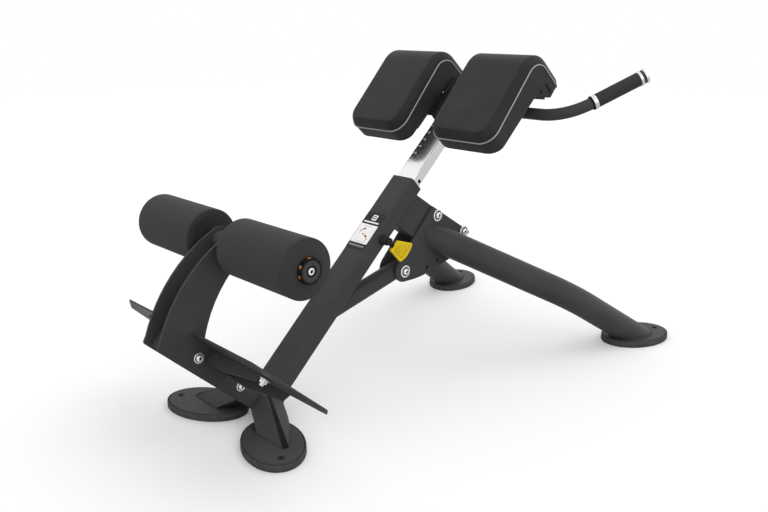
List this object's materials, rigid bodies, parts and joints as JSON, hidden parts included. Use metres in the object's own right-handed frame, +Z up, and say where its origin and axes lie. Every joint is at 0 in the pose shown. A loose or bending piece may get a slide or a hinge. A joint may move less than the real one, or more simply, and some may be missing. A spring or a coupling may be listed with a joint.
{
  "type": "hyperextension bench",
  "caption": "Tilted back-extension bench: telescoping chrome post with two thigh pads and handles, ankle rollers on a curved arm, foot plate and splayed legs.",
  "frame": {"origin": "on the floor, under the centre of the bounding box", "axes": "+X to the user's right as they face the pads, +Y forward from the ankle rollers to the pads, +Z up"},
  "size_m": [0.9352, 1.515, 0.8548],
  "materials": {
    "arm_bolt_front": "bright zinc plate",
    "arm_bolt_rear": "bright zinc plate",
    "arm_boss": "charcoal textured powder coat",
    "arm_front_web": "charcoal textured powder coat",
    "arm_plate_left": "charcoal textured powder coat",
    "arm_plate_right": "charcoal textured powder coat",
    "bracket_bolt_lower": "bright zinc plate",
    "bracket_bolt_rear": "bright zinc plate",
    "bracket_bolt_upper": "bright zinc plate",
    "bracket_plate_left": "charcoal textured powder coat",
    "bracket_plate_right": "charcoal textured powder coat",
    "foam_roller_left": "matt black closed-cell foam",
    "foam_roller_right": "matt black closed-cell foam",
    "foot_plate": "charcoal textured powder coat",
    "foot_plate_bolt_left": "bright zinc plate",
    "foot_plate_bolt_right": "bright zinc plate",
    "front_foot_pad_left": "matt black rubber",
    "front_foot_pad_right": "matt black rubber",
    "front_foot_plate_left": "charcoal textured powder coat",
    "front_foot_plate_right": "charcoal textured powder coat",
    "front_leg_left": "charcoal textured powder coat",
    "front_leg_right": "charcoal textured powder coat",
    "grip_end_cap_left": "satin aluminium",
    "grip_end_cap_right": "satin aluminium",
    "grip_left": "matt black rubber",
    "grip_right": "matt black rubber",
    "grip_ring_left": "satin aluminium",
    "grip_ring_right": "satin aluminium",
    "handlebar": "charcoal textured powder coat",
    "main_tube": "charcoal textured powder coat",
    "pad_board_left": "matt black moulded shell",
    "pad_board_right": "matt black moulded shell",
    "pad_cross_plate": "charcoal textured powder coat",
    "pad_cushion_left": "black upholstery vinyl",
    "pad_cushion_right": "black upholstery vinyl",
    "pad_support_left": "charcoal textured powder coat",
    "pad_support_right": "charcoal textured powder coat",
    "pin_housing": "black moulded plastic",
    "placard": "printed label with bare panels",
    "plunger_pin": "bright zinc plate",
    "post": "polished chrome plate",
    "post_cap": "black moulded plastic",
    "post_glide": "black moulded plastic",
    "post_guide": "black moulded plastic",
    "rear_foot_pad_left": "matt black rubber",
    "rear_foot_pad_right": "matt black rubber",
    "rear_foot_plate_left": "charcoal textured powder coat",
    "rear_foot_plate_right": "charcoal textured powder coat",
    "rear_leg_left": "charcoal textured powder coat",
    "rear_leg_right": "charcoal textured powder coat",
    "rear_spacer": "charcoal textured powder coat",
    "rear_stub": "charcoal textured powder coat",
    "release_lever": "bright yellow moulded plastic",
    "roller_axle": "polished chrome plate",
    "roller_hub_left": "black moulded plastic",
    "roller_hub_right": "black moulded plastic",
    "strut": "charcoal textured powder coat",
    "tube_seat_plate": "charcoal textured powder coat",
    "wing_gusset_left": "charcoal textured powder coat",
    "wing_gusset_right": "charcoal textured powder coat"
  },
  "bodies": {
    "frame": {"arm_bolt_front": "arm_bolt_front", "arm_bolt_rear": "arm_bolt_rear", "arm_boss": "arm_boss", "arm_front_web": "arm_front_web", "arm_plate_left": "arm_plate_left", "arm_plate_right": "arm_plate_right", "bracket_bolt_lower": "bracket_bolt_lower", "bracket_bolt_rear": "bracket_bolt_rear", "bracket_bolt_upper": "bracket_bolt_upper", "bracket_plate_left": "bracket_plate_left", "bracket_plate_right": "bracket_plate_right", "foot_plate": "foot_plate", "foot_plate_bolt_left": "foot_plate_bolt_left", "foot_plate_bolt_right": "foot_plate_bolt_right", "front_foot_pad_left": "front_foot_pad_left", "front_foot_pad_right": "front_foot_pad_right", "front_foot_plate_left": "front_foot_plate_left", "front_foot_plate_right": "front_foot_plate_right", "front_leg_left": "front_leg_left", "front_leg_right": "front_leg_right", "main_tube": "main_tube", "pin_housing": "pin_housing", "placard": "placard", "post_guide": "post_guide", "rear_foot_pad_left": "rear_foot_pad_left", "rear_foot_pad_right": "rear_foot_pad_right", "rear_foot_plate_left": "rear_foot_plate_left", "rear_foot_plate_right": "rear_foot_plate_right", "rear_leg_left": "rear_leg_left", "rear_leg_right": "rear_leg_right", "rear_spacer": "rear_spacer", "rear_stub": "rear_stub", "roller_axle": "roller_axle", "strut": "strut", "tube_seat_plate": "tube_seat_plate", "wing_gusset_left": "wing_gusset_left", "wing_gusset_right": "wing_gusset_right"},
    "seat_carriage": {"grip_end_cap_left": "grip_end_cap_left", "grip_end_cap_right": "grip_end_cap_right", "grip_left": "grip_left", "grip_right": "grip_right", "grip_ring_left": "grip_ring_left", "grip_ring_right": "grip_ring_right", "handlebar": "handlebar", "pad_board_left": "pad_board_left", "pad_board_right": "pad_board_right", "pad_cross_plate": "pad_cross_plate", "pad_cushion_left": "pad_cushion_left", "pad_cushion_right": "pad_cushion_right", "pad_support_left": "pad_support_left", "pad_support_right": "pad_support_right", "post": "post", "post_cap": "post_cap", "post_glide": "post_glide"},
    "pull_pin": {"plunger_pin": "plunger_pin", "release_lever": "release_lever"},
    "left_roller": {"foam_roller_left": "foam_roller_left", "roller_hub_left": "roller_hub_left"},
    "right_roller": {"foam_roller_right": "foam_roller_right", "roller_hub_right": "roller_hub_right"}
  },
  "joints": [
    {"name": "post_slide", "type": "slide", "parent": "frame", "child": "seat_carriage", "axis": [0, 0.7271, 0.6866], "range_m": [-0.196, 0.098]},
    {"name": "pin_pull", "type": "slide", "parent": "frame", "child": "pull_pin", "axis": [1, 0, 0], "range_m": [0, 0.011], "stiffness_N_per_m": 600, "springref_m": -0.004},
    {"name": "left_roller_spin", "type": "hinge", "parent": "frame", "child": "left_roller", "pos_m": [-0.167, -0.55327, 0.46283], "axis": [1, 0, 0], "continuous": true},
    {"name": "right_roller_spin", "type": "hinge", "parent": "frame", "child": "right_roller", "pos_m": [0.167, -0.55327, 0.46283], "axis": [1, 0, 0], "continuous": true}
  ]
}
